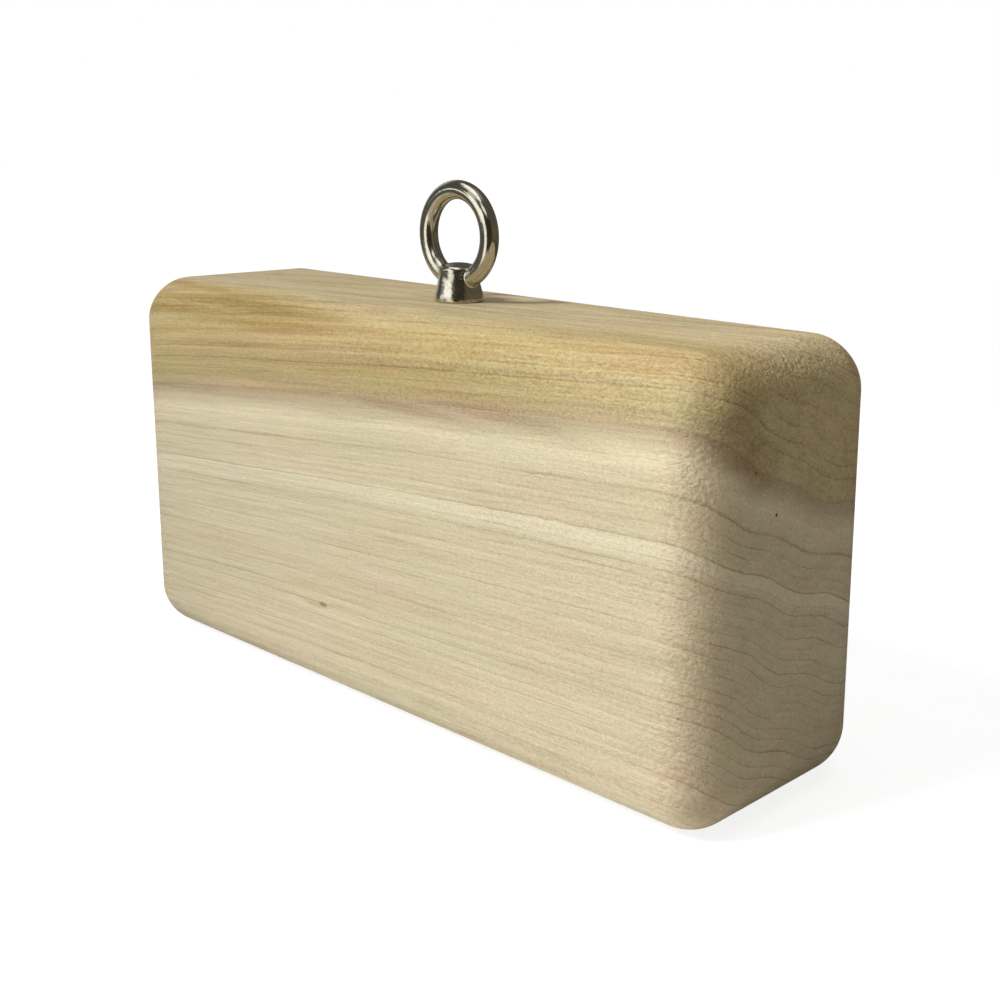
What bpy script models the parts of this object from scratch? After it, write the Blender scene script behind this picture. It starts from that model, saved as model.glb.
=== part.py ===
"""Hanging pinch block: a solid hardwood grip block that hangs from a ring nut.

A hexagon bolt runs up through the middle of the block. Its head sits in a counterbore in
the underside on a spring washer and a wide flat washer, and the ring nut screws down on
its end, on top of the block. X runs along the block, Y through its thickness and Z up. The
origin is the middle of the underside. All sizes are in metres.
"""

import math

import bmesh
import bpy

# Wood block
BLOCK_LENGTH = 0.204
BLOCK_THICKNESS = 0.060
BLOCK_HEIGHT = 0.100
EDGE_RADIUS = 0.012
EDGE_SEGMENTS = 10
BORE_DIAMETER = 0.0066
COUNTERBORE_DIAMETER = 0.020
COUNTERBORE_DEPTH = 0.020
COUNTERBORE_CHAMFER = 0.0008

# Thread, M6 coarse. The solids end at its pitch diameter, midway between crest and root.
THREAD_DIAMETER = 0.006
THREAD_PITCH = 0.001
PITCH_DIAMETER = THREAD_DIAMETER - 0.6495 * THREAD_PITCH

# Ring nut, small pattern, closed on top. Heights are over the top of the block.
RING_INNER_DIAMETER = 0.0172
RING_WIRE_DIAMETER = 0.0046
RING_CENTRE_HEIGHT = 0.0160
BOSS_HEIGHT = 0.0094
BOSS_DOME_RADIUS = 0.013
BOSS_RIM_ROUND = 0.0006
BOSS_NECK_DIAMETER = 0.0099
BOSS_FLARE_HEIGHT = 0.0066
BOSS_FOOT_DIAMETER = 0.0120
BOSS_FOOT_CHAMFER = 0.0003
NUT_HOLE_DEPTH = 0.0073
NUT_HOLE_POINT = 0.0008
NUT_COUNTERSINK = 0.0004

# Hexagon bolt, M6 x 90, partly threaded
BOLT_LENGTH = 0.090
BOLT_THREAD_LENGTH = 0.018
BOLT_END_CHAMFER = 0.0007
BOLT_SHANK_DIAMETER = 0.00597
HEAD_ACROSS_FLATS = 0.010
HEAD_FLAT_DIAMETER = 0.0095
HEAD_THICKNESS = 0.004
HEAD_CHAMFER_DEGREES = 30
UNDERHEAD_ROUND = 0.00025

# Washers under the head
SPRING_WASHER_INNER = 0.0061
SPRING_WASHER_OUTER = 0.0118
SPRING_WASHER_THICKNESS = 0.0016
SPRING_WASHER_SLIT = 0.0007
SPRING_WASHER_SLIT_DEGREES = 25
FLAT_WASHER_INNER = 0.0064
FLAT_WASHER_OUTER = 0.018
FLAT_WASHER_THICKNESS = 0.0016
WASHER_EDGE = 0.00015

# Clear space between pieces that touch. Each of two fasteners gives up half of it.
CONTACT_GAP = 0.0003
HALF_GAP = CONTACT_GAP / 2

# How finely round shapes are divided
TURNED_STEPS = 48
RING_STEPS = 72
WIRE_STEPS = 24
ROUND_POINTS = 4
FLARE_POINTS = 9
SHARP_ABOVE = math.radians(32)
OVERSHOOT = 0.001

# Heights of the stack in the counterbore, from the underside of the block
WASHER_FACE_Z = COUNTERBORE_DEPTH - FLAT_WASHER_THICKNESS
BEARING_FACE_Z = WASHER_FACE_Z - SPRING_WASHER_THICKNESS


def clear_scene():
    for obj in list(bpy.data.objects):
        bpy.data.objects.remove(obj, do_unlink=True)


def new_collection(name):
    collection = bpy.data.collections.new(name)
    bpy.context.scene.collection.children.link(collection)
    return collection


def material(name, colour, roughness, metallic):
    made = bpy.data.materials.new(name)
    made.use_nodes = True
    shader = made.node_tree.nodes["Principled BSDF"]
    shader.inputs["Base Color"].default_value = (*colour, 1)
    shader.inputs["Roughness"].default_value = roughness
    shader.inputs["Metallic"].default_value = metallic
    return made


def add_object(name, mesh, collection, height=0.0, parent=None):
    """Puts a mesh in the scene on the block's middle axis, at a height over the underside."""
    obj = bpy.data.objects.new(name, mesh)
    collection.objects.link(obj)
    obj.location.z = height
    obj.parent = parent
    return obj


def mesh_from(name, build):
    """A mesh made by build, a function that fills a bmesh."""
    mesh = bpy.data.meshes.new(name)
    bm = bmesh.new()
    build(bm)
    bm.to_mesh(mesh)
    bm.free()
    return mesh


def profile_mesh(name, points, is_ring):
    """Edges through (radius, height) points. A ring's profile is closed into a loop."""
    count = len(points)
    edges = [(i, (i + 1) % count) for i in range(count if is_ring else count - 1)]
    mesh = bpy.data.meshes.new(name)
    mesh.from_pydata([(radius, 0, height) for radius, height in points], edges, [])
    return mesh


def turn(obj):
    """Turns the object's profile into a solid round Z."""
    screw = obj.modifiers.new("turn", "SCREW")
    screw.steps = screw.render_steps = TURNED_STEPS
    screw.use_merge_vertices = True
    screw.merge_threshold = 0.00001
    screw.use_smooth_shade = True


def arc(centre, radius, start_degrees, end_degrees):
    """Points along an arc in a turned profile, both ends included."""
    points = []
    for i in range(ROUND_POINTS + 1):
        share = i / ROUND_POINTS
        angle = math.radians(start_degrees + (end_degrees - start_degrees) * share)
        points.append((centre[0] + radius * math.cos(angle), centre[1] + radius * math.sin(angle)))
    return points


def washer_profile(inner, outer, thickness):
    """A flat ring's section, with its four edges broken. It lies between 0 and thickness."""
    r_in, r_out, edge = inner / 2, outer / 2, WASHER_EDGE
    return [
        (r_in + edge, thickness),
        (r_out - edge, thickness),
        (r_out, thickness - edge),
        (r_out, edge),
        (r_out - edge, 0),
        (r_in + edge, 0),
        (r_in, edge),
        (r_in, thickness - edge),
    ]


def combine(obj, other, operation):
    """Adds a live Boolean of other on obj, and keeps other as a wire guide."""
    boolean = obj.modifiers.new(other.name, "BOOLEAN")
    boolean.operation = operation
    boolean.solver = "EXACT"
    boolean.object = other
    other.hide_render = True
    other.display_type = "WIRE"


def sharp_edge_nodes():
    """A node group that shades a mesh smooth, apart from edges above a set angle."""
    group = bpy.data.node_groups.new("smooth_by_angle", "GeometryNodeTree")
    group.interface.new_socket("Geometry", in_out="INPUT", socket_type="NodeSocketGeometry")
    group.interface.new_socket("Geometry", in_out="OUTPUT", socket_type="NodeSocketGeometry")
    nodes, link = group.nodes, group.links.new
    start = nodes.new("NodeGroupInput")
    end = nodes.new("NodeGroupOutput")
    smooth = nodes.new("GeometryNodeSetShadeSmooth")
    crease = nodes.new("GeometryNodeSetShadeSmooth")
    crease.domain = "EDGE"
    crease.inputs["Shade Smooth"].default_value = False
    angle = nodes.new("GeometryNodeInputMeshEdgeAngle")
    is_sharp = nodes.new("FunctionNodeCompare")
    is_sharp.operation = "GREATER_THAN"
    is_sharp.inputs["B"].default_value = SHARP_ABOVE
    link(start.outputs["Geometry"], smooth.inputs["Geometry"])
    link(smooth.outputs["Geometry"], crease.inputs["Geometry"])
    link(angle.outputs["Unsigned Angle"], is_sharp.inputs["A"])
    link(is_sharp.outputs["Result"], crease.inputs["Selection"])
    link(crease.outputs["Geometry"], end.inputs["Geometry"])
    return group


def finish(obj, surface, smoothing):
    """Gives a piece its material, soft shading on round faces and true shading on flat ones."""
    obj.data.materials.append(surface)
    obj.modifiers.new("smooth_by_angle", "NODES").node_group = smoothing
    weighted = obj.modifiers.new("flat_faces_stay_flat", "WEIGHTED_NORMAL")
    weighted.keep_sharp = True


def make_wood_block(parts, cutters, parent):
    """One piece of timber, rounded all over, with a stepped hole for the bolt."""
    mesh = mesh_from("wood_block", lambda bm: bmesh.ops.create_cube(bm, size=1))
    for vertex in mesh.vertices:
        vertex.co.x *= BLOCK_LENGTH
        vertex.co.y *= BLOCK_THICKNESS
        vertex.co.z *= BLOCK_HEIGHT
    block = add_object("wood_block", mesh, parts, BLOCK_HEIGHT / 2, parent)
    bevel = block.modifiers.new("rounded_edges", "BEVEL")
    bevel.width = EDGE_RADIUS
    bevel.segments = EDGE_SEGMENTS
    bevel.limit_method = "NONE"

    bore = BORE_DIAMETER / 2
    pocket = COUNTERBORE_DIAMETER / 2
    profile = [
        (0, BLOCK_HEIGHT + OVERSHOOT),
        (bore, BLOCK_HEIGHT + OVERSHOOT),
        (bore, COUNTERBORE_DEPTH),
        (pocket, COUNTERBORE_DEPTH),
        (pocket, COUNTERBORE_CHAMFER),
        (pocket + COUNTERBORE_CHAMFER + OVERSHOOT, -OVERSHOOT),
        (0, -OVERSHOOT),
    ]
    drill = add_object("stepped_drill", profile_mesh("stepped_drill", profile, False), cutters)
    drill.parent = parent
    turn(drill)
    combine(block, drill, "DIFFERENCE")
    return block


def boss_profile():
    """The ring nut's domed top, its rounded rim and a raised-cosine flare down to the foot."""
    foot, neck = BOSS_FOOT_DIAMETER / 2, BOSS_NECK_DIAMETER / 2
    dome_base = BOSS_HEIGHT - BOSS_DOME_RADIUS
    rim_radius = neck - BOSS_RIM_ROUND
    rim_reach = BOSS_DOME_RADIUS - BOSS_RIM_ROUND
    rim_tilt = math.acos(rim_radius / rim_reach)
    rim_centre = (rim_radius, dome_base + rim_reach * math.sin(rim_tilt))
    flare = []
    for i in range(FLARE_POINTS):
        height = BOSS_FLARE_HEIGHT * (1 - i / FLARE_POINTS)
        wave = (1 + math.cos(math.pi * height / BOSS_FLARE_HEIGHT)) / 2
        flare.append((neck + (foot - neck) * wave, height))
    return [
        (0, BOSS_HEIGHT),
        *arc((0, dome_base), BOSS_DOME_RADIUS, 90, math.degrees(rim_tilt))[1:-1],
        *arc(rim_centre, BOSS_RIM_ROUND, math.degrees(rim_tilt), 0),
        *flare,
        (foot, BOSS_FOOT_CHAMFER + CONTACT_GAP),
        (foot - BOSS_FOOT_CHAMFER, CONTACT_GAP),
        (0, CONTACT_GAP),
    ]


def make_eye_nut(parts, cutters, parent):
    """A turned boss and a round-wire ring in one casting, drilled and tapped from below."""
    nut = add_object(
        "eye_nut", profile_mesh("eye_nut", boss_profile(), False), parts, BLOCK_HEIGHT, parent
    )
    turn(nut)

    bpy.ops.mesh.primitive_torus_add(
        major_radius=(RING_INNER_DIAMETER + RING_WIRE_DIAMETER) / 2,
        minor_radius=RING_WIRE_DIAMETER / 2,
        major_segments=RING_STEPS,
        minor_segments=WIRE_STEPS,
        location=(0, 0, RING_CENTRE_HEIGHT),
        rotation=(math.pi / 2, 0, 0),
    )
    ring = bpy.context.object
    ring.name = "ring"
    for home in list(ring.users_collection):
        home.objects.unlink(ring)
    cutters.objects.link(ring)
    ring.parent = nut
    combine(nut, ring, "UNION")

    hole = PITCH_DIAMETER / 2 + CONTACT_GAP
    mouth = hole + NUT_COUNTERSINK + OVERSHOOT
    profile = [
        (0, NUT_HOLE_DEPTH + NUT_HOLE_POINT),
        (hole, NUT_HOLE_DEPTH),
        (hole, CONTACT_GAP + NUT_COUNTERSINK),
        (mouth, CONTACT_GAP - OVERSHOOT),
        (0, CONTACT_GAP - OVERSHOOT),
    ]
    tap = add_object("tap", profile_mesh("tap", profile, False), cutters, parent=nut)
    turn(tap)
    combine(nut, tap, "DIFFERENCE")
    return nut


def bolt_profile():
    """Shank, thread and end point, up from inside the head. The bearing face is at 0."""
    shank, thread = BOLT_SHANK_DIAMETER / 2, PITCH_DIAMETER / 2
    runout = BOLT_LENGTH - BOLT_THREAD_LENGTH
    foot_centre = (shank + UNDERHEAD_ROUND, UNDERHEAD_ROUND - HALF_GAP)
    return [
        (0, BOLT_LENGTH),
        (thread - BOLT_END_CHAMFER, BOLT_LENGTH),
        (thread, BOLT_LENGTH - BOLT_END_CHAMFER),
        (thread, runout),
        (shank, runout - (shank - thread)),
        *arc(foot_centre, UNDERHEAD_ROUND, 180, 270),
        (shank + UNDERHEAD_ROUND, -HEAD_THICKNESS / 2),
        (0, -HEAD_THICKNESS / 2),
    ]


def make_hex_bolt(parts, cutters, parent):
    """A shank with a hexagon head whose corners are chamfered on the outer face."""
    bolt = add_object(
        "hex_bolt", profile_mesh("hex_bolt", bolt_profile(), False), parts, BEARING_FACE_Z, parent
    )
    turn(bolt)

    corner = HEAD_ACROSS_FLATS / 2 / math.cos(math.pi / 6)
    tall = HEAD_THICKNESS - HALF_GAP

    def hexagon(bm):
        bmesh.ops.create_cone(
            bm, cap_ends=True, segments=6, radius1=corner, radius2=corner, depth=tall
        )

    middle = -HALF_GAP - tall / 2
    head = add_object("head", mesh_from("head", hexagon), cutters, middle, bolt)

    flat_radius = HEAD_FLAT_DIAMETER / 2
    reach = corner + OVERSHOOT
    slope = math.tan(math.radians(HEAD_CHAMFER_DEGREES))
    profile = [
        (0, tall),
        (reach, tall),
        (reach, -tall / 2 + (reach - flat_radius) * slope),
        (flat_radius, -tall / 2),
        (0, -tall / 2),
    ]
    blank = add_object("head_blank", profile_mesh("head_blank", profile, False), cutters)
    blank.parent = head
    turn(blank)
    combine(head, blank, "INTERSECT")
    combine(bolt, head, "UNION")
    return bolt


def make_spring_washer(parts, cutters, parent):
    """A ring cut through by one slanted slit, pressed flat by the bolt head."""
    thickness = SPRING_WASHER_THICKNESS - CONTACT_GAP
    section = washer_profile(SPRING_WASHER_INNER, SPRING_WASHER_OUTER, thickness)
    washer = add_object(
        "spring_washer",
        profile_mesh("spring_washer", section, True),
        parts,
        BEARING_FACE_Z + HALF_GAP,
        parent,
    )
    turn(washer)

    mesh = mesh_from("slit", lambda bm: bmesh.ops.create_cube(bm, size=1))
    for vertex in mesh.vertices:
        vertex.co.x *= SPRING_WASHER_OUTER / 2
        vertex.co.y *= SPRING_WASHER_SLIT
        vertex.co.z *= SPRING_WASHER_THICKNESS + 3 * OVERSHOOT
    slit = add_object("slit", mesh, cutters, thickness / 2, washer)
    slit.location.x = (SPRING_WASHER_INNER + SPRING_WASHER_OUTER) / 4
    slit.rotation_euler.x = math.radians(SPRING_WASHER_SLIT_DEGREES)
    combine(washer, slit, "DIFFERENCE")
    return washer


def make_flat_washer(parts, parent):
    """A wide washer that spreads the pull of the bolt over the floor of the counterbore."""
    thickness = FLAT_WASHER_THICKNESS - CONTACT_GAP
    section = washer_profile(FLAT_WASHER_INNER, FLAT_WASHER_OUTER, thickness)
    washer = add_object(
        "flat_washer",
        profile_mesh("flat_washer", section, True),
        parts,
        WASHER_FACE_Z + HALF_GAP,
        parent,
    )
    turn(washer)
    return washer


def main():
    clear_scene()
    parts = new_collection("hanging_pinch_block")
    cutters = new_collection("cutters")
    cutters.hide_render = True

    base = add_object("underside_centre", None, parts)
    bolt_axis = add_object("bolt_axis", None, parts, parent=base)

    timber = material("sanded_tulipwood", (0.69, 0.60, 0.42), 0.75, 0.0)
    stainless = material("polished_stainless", (0.62, 0.60, 0.55), 0.12, 1.0)
    zinc = material("zinc_plated_steel", (0.66, 0.67, 0.68), 0.35, 1.0)

    smoothing = sharp_edge_nodes()
    finish(make_wood_block(parts, cutters, base), timber, smoothing)
    finish(make_eye_nut(parts, cutters, bolt_axis), stainless, smoothing)
    finish(make_hex_bolt(parts, cutters, bolt_axis), zinc, smoothing)
    finish(make_spring_washer(parts, cutters, bolt_axis), zinc, smoothing)
    finish(make_flat_washer(parts, bolt_axis), zinc, smoothing)


main()
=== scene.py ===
import math

import bmesh
import bpy
import numpy as np
from mathutils import Matrix, Vector, noise


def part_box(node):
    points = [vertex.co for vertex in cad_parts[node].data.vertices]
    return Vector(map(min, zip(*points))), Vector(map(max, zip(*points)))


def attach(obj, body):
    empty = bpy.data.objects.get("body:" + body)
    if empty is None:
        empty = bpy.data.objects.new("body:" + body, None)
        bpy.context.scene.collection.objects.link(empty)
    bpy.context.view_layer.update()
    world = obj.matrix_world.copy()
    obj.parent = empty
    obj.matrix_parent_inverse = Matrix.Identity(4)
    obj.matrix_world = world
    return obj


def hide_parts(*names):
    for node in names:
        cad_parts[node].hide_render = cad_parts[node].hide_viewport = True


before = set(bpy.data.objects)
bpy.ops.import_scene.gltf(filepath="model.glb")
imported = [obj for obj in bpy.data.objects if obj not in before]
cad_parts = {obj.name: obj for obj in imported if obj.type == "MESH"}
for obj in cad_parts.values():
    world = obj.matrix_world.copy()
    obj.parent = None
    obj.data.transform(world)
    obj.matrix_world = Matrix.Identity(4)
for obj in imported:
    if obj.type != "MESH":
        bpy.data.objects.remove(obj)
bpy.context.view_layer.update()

MM = 0.001

# Camera, fitted to the block's outline and the ring. Heading is counter-clockwise from +X.
CAMERA_PLACE = (0.25849, -0.23272, 0.14209)
CAMERA_HEADING = math.radians(132.021)
CAMERA_PITCH = math.radians(-12.467)
CAMERA_ROLL = math.radians(0.824)
CAMERA_LENS = 50.96
CAMERA_SHIFT = (-0.105, -0.060)
CAMERA_NEAR = 10 * MM

# Wood block. FLAT_SHARE is the share of the mesh's steps that lie in its flats, and
# SANDING_WAVES is how many broad and fine waves of the sander there are to a metre.
BLOCK_LOW, BLOCK_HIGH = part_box("wood_block")
BLOCK_CENTRE = (BLOCK_LOW + BLOCK_HIGH) / 2
BLOCK_HALF = (BLOCK_HIGH - BLOCK_LOW) / 2
BLOCK_TOP = BLOCK_HIGH.z
EDGE_RADIUS = 12 * MM
BORE_RADIUS = 3.3 * MM
POCKET_RADIUS = 10 * MM
POCKET_DEPTH = 20 * MM
POCKET_CHAMFER = 0.8 * MM
DRILL_OVERRUN = 1 * MM
DRILL_STEPS = 96
BLOCK_CUTS = 79
FLAT_SHARE = 0.75
SANDING_DEPTH = 0.12 * MM
SANDING_WAVES = (45, 110)

# How the tree's layers lie in the block, in mm. A layer's depth in the tree is about its height
# over the middle of the front at LAYER_X. To the left a layer falls and closes up on the next,
# with a bow. To the back it slants down, ever less, and has shallow waves.
LAYER_X = 86
LAYER_FALL = 0.053
LAYER_SPREAD = 0.0007
LAYER_BOW_MIDDLE, LAYER_BOW_REACH = 20, 105
LAYER_SLANT, LAYER_CURL = 0.6, 0.003
LAYER_WAVE, WAVE_TURN, WAVE_START, WAVE_LEAN = 0.65, 0.229, 1.28, 0.485

# Each ring is the depth where it starts and how dark its first wood is, from 0 to 1
RINGS = (
    (-50, 0.2), (-44, 0.3), (-38.5, 0.3), (-33.7, 0.7), (-31.5, 0.3), (-29.5, 0.4), (-27.2, 0.6),
    (-24.5, 0.4), (-21, 0.8), (-18.2, 0.7), (-16, 0.4), (-13.5, 0.5), (-12, 0.3), (-10.2, 0.4),
    (-8.4, 0.3), (-6.7, 0.6), (-3.8, 0.8), (-2.2, 0.3), (-0.8, 0.5), (1.3, 0.4), (3.8, 0.5),
    (6.5, 0.3), (8.7, 0.8), (10.7, 0.3), (14.1, 0.9), (17.5, 0.3), (20.2, 0.4), (23.7, 0.6),
    (30, 0.1), (36.3, 0.5), (39.8, 0.3), (41.7, 0.7), (44.7, 0.9), (48, 0.6), (52.5, 0.4),
    (58, 0.5), (61, 0.4), (64, 0.7), (67.5, 0.5), (71, 0.7), (78, 0.6), (81, 0.5), (85, 0.7),
    (92, 0.5), (100, 0.5),
)

# The depth where the heartwood begins, and how far before and after it the two woods mix
HEART_EDGE = 36.3
HEART_BLEND = (1.3, 0.8)

# Colours at depths in the tree, as they look on a screen. The sapwood's lowest stops hold painted
# light.
SAPWOOD_WITH_PAINTED_LIGHT = (
    # The two palest stops, at -43 and -40.5, lie at the bottom round-over and are painted light:
    # they brighten it as light bounced up from below would.
    (-43, (232, 218, 186)),
    (-40.5, (219, 205, 173)),
    (-36, (211, 197, 165)),
    (-25, (211, 197, 165)),
    (-19, (207, 193, 161)),
    (-9, (207, 193, 161)),
    (3, (210, 197, 165)),
    (9, (207, 194, 162)),
    (11.5, (219, 208, 178)),
    (13.8, (218, 207, 176)),
    (15.5, (208, 194, 161)),
    (23.5, (207, 193, 160)),
    (25.5, (213, 199, 166)),
    (29.5, (218, 204, 171)),
    (31.5, (208, 193, 160)),
    (33.5, (192, 175, 143)),
    (36, (180, 160, 130)),
)
HEARTWOOD = (
    (36.2, (174, 152, 122)),
    (37.2, (184, 161, 125)),
    (38.8, (179, 159, 117)),
    (41.5, (181, 162, 114)),
    (45, (184, 165, 118)),
    (49, (190, 168, 121)),
    (53, (189, 165, 116)),
    (58, (192, 171, 128)),
    (62, (202, 182, 144)),
    (70, (201, 183, 148)),
    (86, (196, 178, 142)),
    (98, (197, 180, 146)),
)
YELLOW_STREAK = (194, 166, 106)
BROWN_STREAK = (172, 150, 120)
OLIVE_PATCH = (172, 163, 115)
PALE_HEARTWOOD = (205, 187, 150)

# What multiplies the wood's colour where it is dark, pale, stained, flushed with pink, at the
# left and the right end, and on the end grain, and then the colour of a pinhole
DARK_TINT = (0.62, 0.53, 0.40, 1)
PALE_TINT = (1.38, 1.40, 1.42, 1)
GOLD_TINT = (0.76, 0.70, 0.50, 1)
FLUSH_TINT = (1.05, 0.98, 0.98, 1)
WARM_TINT, GREEN_TINT = (1.02, 0.99, 1.0, 1), (0.98, 1.01, 0.975, 1)
# Painted shade and painted light: the wood is darkened towards the left end and made paler towards
# the right, as if more light fell on the right.
LEFT_PAINTED_SHADE, RIGHT_PAINTED_LIGHT = (0.83, 0.84, 0.86, 1), (1.09, 1.10, 1.09, 1)
END_SAP_TINT, END_HEART_TINT = (0.75, 0.71, 0.66, 1), (0.74, 0.71, 0.61, 1)
# The pinhole's near black is painted shade, for holes that the mesh doesn't have.
PINHOLE_PAINTED_SHADE = (0.07, 0.04, 0.025, 1)
WOOD_RELIEF = 0.045 * MM

# Centre and half sizes of the gold stain at the front of the top, in mm, and the depths in the
# tree and the X positions between which a brown layer shows in it
GOLD_STAIN = ((-78, -26.5, 96.5), (86, 9.5, 7.5))
BROWN_LAYER = (58.5, 64.5)
BROWN_REACH = (20, -80)

# Centre and half sizes of the places where the sander tore the grain, in mm
TORN_PLACES = (((99, -2, 93), (7, 20, 6)), ((80, -29, 90), (9, 5, 6)), ((97, -27, 78), (6, 7, 8)))

# Marks in the wood: the centre and the half sizes, in mm, and how dark they are. Below 0 is pale.
# The darkest turn to a pinhole's painted shade.
WOOD_MARKS = (
    ((-18, -30, 24.8), (2.1, 2, 0.65), 1.3),
    ((-21, -30, 24.0), (5.5, 2, 0.9), 0.35),
    ((102, -7.75, 67.2), (2, 0.45, 0.45), 3.3),
    ((102, -15.2, 77.1), (2, 0.4, 0.5), 1.2),
    ((102, -15, 77), (2, 0.9, 0.3), 0.6),
    ((-71, -6, 100), (0.5, 0.7, 1), 1.5),
    ((100, -20, 84), (9, 9, 8), 0.45),
    ((100, -17, 92), (9, 7, 5), 0.3),
    ((102, -14, 78), (7, 9, 7), 0.4),
    ((14, -30, 79.3), (26, 7, 1.8), 0.35),
    ((44, -30, 82.1), (24, 7, 1.8), 0.3),
    ((84, -30, 82.3), (24, 9, 4.4), -0.4),
)

# Ring nut. Heights are over the top of the block.
RING_RADIUS = 10.9 * MM
WIRE_RADIUS = 2.3 * MM
RING_HEIGHT = 16.0 * MM
RING_PLACE = Vector((0, 0, BLOCK_TOP + RING_HEIGHT))
BOSS_HEIGHT = 9.4 * MM
DOME_RADIUS = 13 * MM
RIM_ROUND = 0.6 * MM
NECK_RADIUS = 4.95 * MM
FLARE_HEIGHT = 6.6 * MM
FOOT_RADIUS = 6.0 * MM
FOOT_ROUND = 0.3 * MM
JUNCTION_BLEND = 0.5 * MM
NUT_SEAT = 0.02 * MM
NUT_COUNTERSINK = 0.4 * MM
NUT_HOLE_DEPTH = 7.3 * MM
NUT_HOLE_POINT = 0.8 * MM
NUT_HOLE_TIP = 0.1 * MM
TAP_OVERRUN = 0.5 * MM
CAST_RELIEF = 0.012 * MM

# Meshing of the ring nut: steps round the ring, its wire and the boss, the voxels that join
# them, how often their skin is drawn to the true shape, and what counts as on it
RING_STEPS = 120
WIRE_STEPS = 32
BOSS_STEPS = 64
CASTING_VOXEL = 0.2 * MM
SKIN_PASSES = 5
SKIN_REACH = 0.01 * MM
SKIN_AGREEMENT = 0.8

# Thread, M6 coarse. The crest's flat is a share of the pitch.
THREAD_CREST = 3.0 * MM
THREAD_DEPTH = 0.6134 * MM
THREAD_PITCH = 1.0 * MM
CREST_FLAT = 1 / 8
FLANK_SLOPE = math.sqrt(3)
NUT_BORE = 2.47 * MM
THREAD_PLAY = 0.04 * MM
THREAD_STEPS = 72
ROWS_PER_PITCH = 12

# Bolt and washers, from the underside up
FLAT_WASHER_INNER = 3.2 * MM
FLAT_WASHER_OUTER = 9.0 * MM
SPRING_WASHER_INNER = 3.05 * MM
SPRING_WASHER_OUTER = 5.9 * MM
WASHER_THICKNESS = 1.6 * MM
WASHER_EDGE = 0.15 * MM
FLAT_WASHER_STEPS = 96
SPRING_WASHER_STEPS = 90
SLIT_WIDTH = 0.7 * MM
SLIT_LEAN = math.radians(25)
SEAT_PLAY = 0.02 * MM
WASHER_FACE = POCKET_DEPTH - WASHER_THICKNESS
BEARING_FACE = WASHER_FACE - WASHER_THICKNESS
BOLT_LENGTH = 90 * MM
BOLT_THREAD_LENGTH = 18 * MM
SHANK_RADIUS = 2.985 * MM
SHANK_FILLET = (0.05 * MM, 0.2 * MM)
BOLT_POINT = 0.7 * MM
BOLT_POINT_SLOPE = 1.2
HEAD_HALF_FLATS = 5 * MM
HEAD_THICKNESS = 4 * MM
HEAD_CHAMFER = math.radians(30)
HEAD_CHAMFER_DEPTH = 0.6 * MM
HEAD_CHAMFER_ROWS = 12
HEAD_FLAT_RADIUS = 0.95 * HEAD_HALF_FLATS
HEAD_BEARING_RADIUS = 0.97 * HEAD_HALF_FLATS
HEAD_FACE_EDGE = 0.25 * MM
HEAD_BEARING_EDGE = 0.15 * MM
ZINC_RELIEF = 0.01 * MM

# Studio. A bearing is measured from the front (-Y) towards the right end (+X).
KEY_BEARING = -22
KEY_HEIGHT = 45
KEY_DISTANCE = 2.2
KEY_SIZE = (0.6, 0.6)
KEY_POWER = 42.3
CEILING_PLACE = (0.15, 0.05, 1.5)
CEILING_SIZE = (1.2, 1.2)
CEILING_POWER = 8.5
SKY_LEVEL = 0.02

# Floor. The camera sees a shaded grey and a glow near the block, and plain white further out.
FLOOR_SIZE = 8.0
FLOOR_DROP = 0.05 * MM
FLOOR_MARGIN = 2 * MM
FLOOR_FADE = (0.35, 0.5)
FLOOR_WHITE = 0.92
FLOOR_SHADED = 0.3
FLOOR_GLOW = 0.86

# Tent that the metal mirrors. A glow is a span of bearings and one of heights, in degrees, the
# width of its soft edge and its colour.
TENT_RADIUS = 1.2
TENT_STEPS = (64, 32)
TENT_HEM = 0.5 * MM
TENT_CLOTH = (0.11, 0.105, 0.085, 1)
TENT_GLOWS = (
    ((80, 200), (-5, 18), 14, (0.15, 0.12, 0.07)),
    ((80, 200), (-60, -8), 14, (0.085, 0.075, 0.05)),
    ((22, 78), (-40, 30), 12, (0.045, 0.038, 0.026)),
    ((-200, 200), (68, 95), 14, (0.36, 0.36, 0.32)),
    ((-100, 48), (58, 95), 9, (1.75, 1.75, 1.65)),
    ((-52, 14), (50, 64), 9, (1.1, 1.1, 1.0)),
    ((-28, -8), (24, 58), 9, (0.8, 0.8, 0.72)),
    ((-125, -88), (-14, 34), 10, (0.55, 0.55, 0.52)),
    ((-62, 40), (-60, -24), 9, (0.62, 0.57, 0.46)),
    ((-36, 10), (4, 27), 8, (1.7, 1.7, 1.6)),
    ((-14, 15), (-25, 8), 8, (1.45, 1.4, 1.26)),
    ((-52, -32), (0, 9), 6, (1.45, 1.45, 1.3)),
    ((20, 54), (36, 52), 9, (1.4, 1.4, 1.3)),
)


class Socket:
    """A node's output. Arithmetic on it adds Math nodes."""

    def __init__(self, nodes, link):
        self.nodes = nodes
        self.link = link

    def math(self, operation, *others):
        inputs = dict(enumerate((self, *others)))
        return self.nodes.node("Math", {"operation": operation}, inputs)

    def __add__(self, other):
        return self.math("ADD", other)

    def __sub__(self, other):
        return self.math("SUBTRACT", other)

    def __mul__(self, other):
        return self.math("MULTIPLY", other)

    def __truediv__(self, other):
        return self.math("DIVIDE", other)

    def __neg__(self):
        return self.math("MULTIPLY", -1)

    def __rsub__(self, other):
        return self.nodes.node("Math", {"operation": "SUBTRACT"}, {0: other, 1: self})

    __radd__ = __add__
    __rmul__ = __mul__


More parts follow.
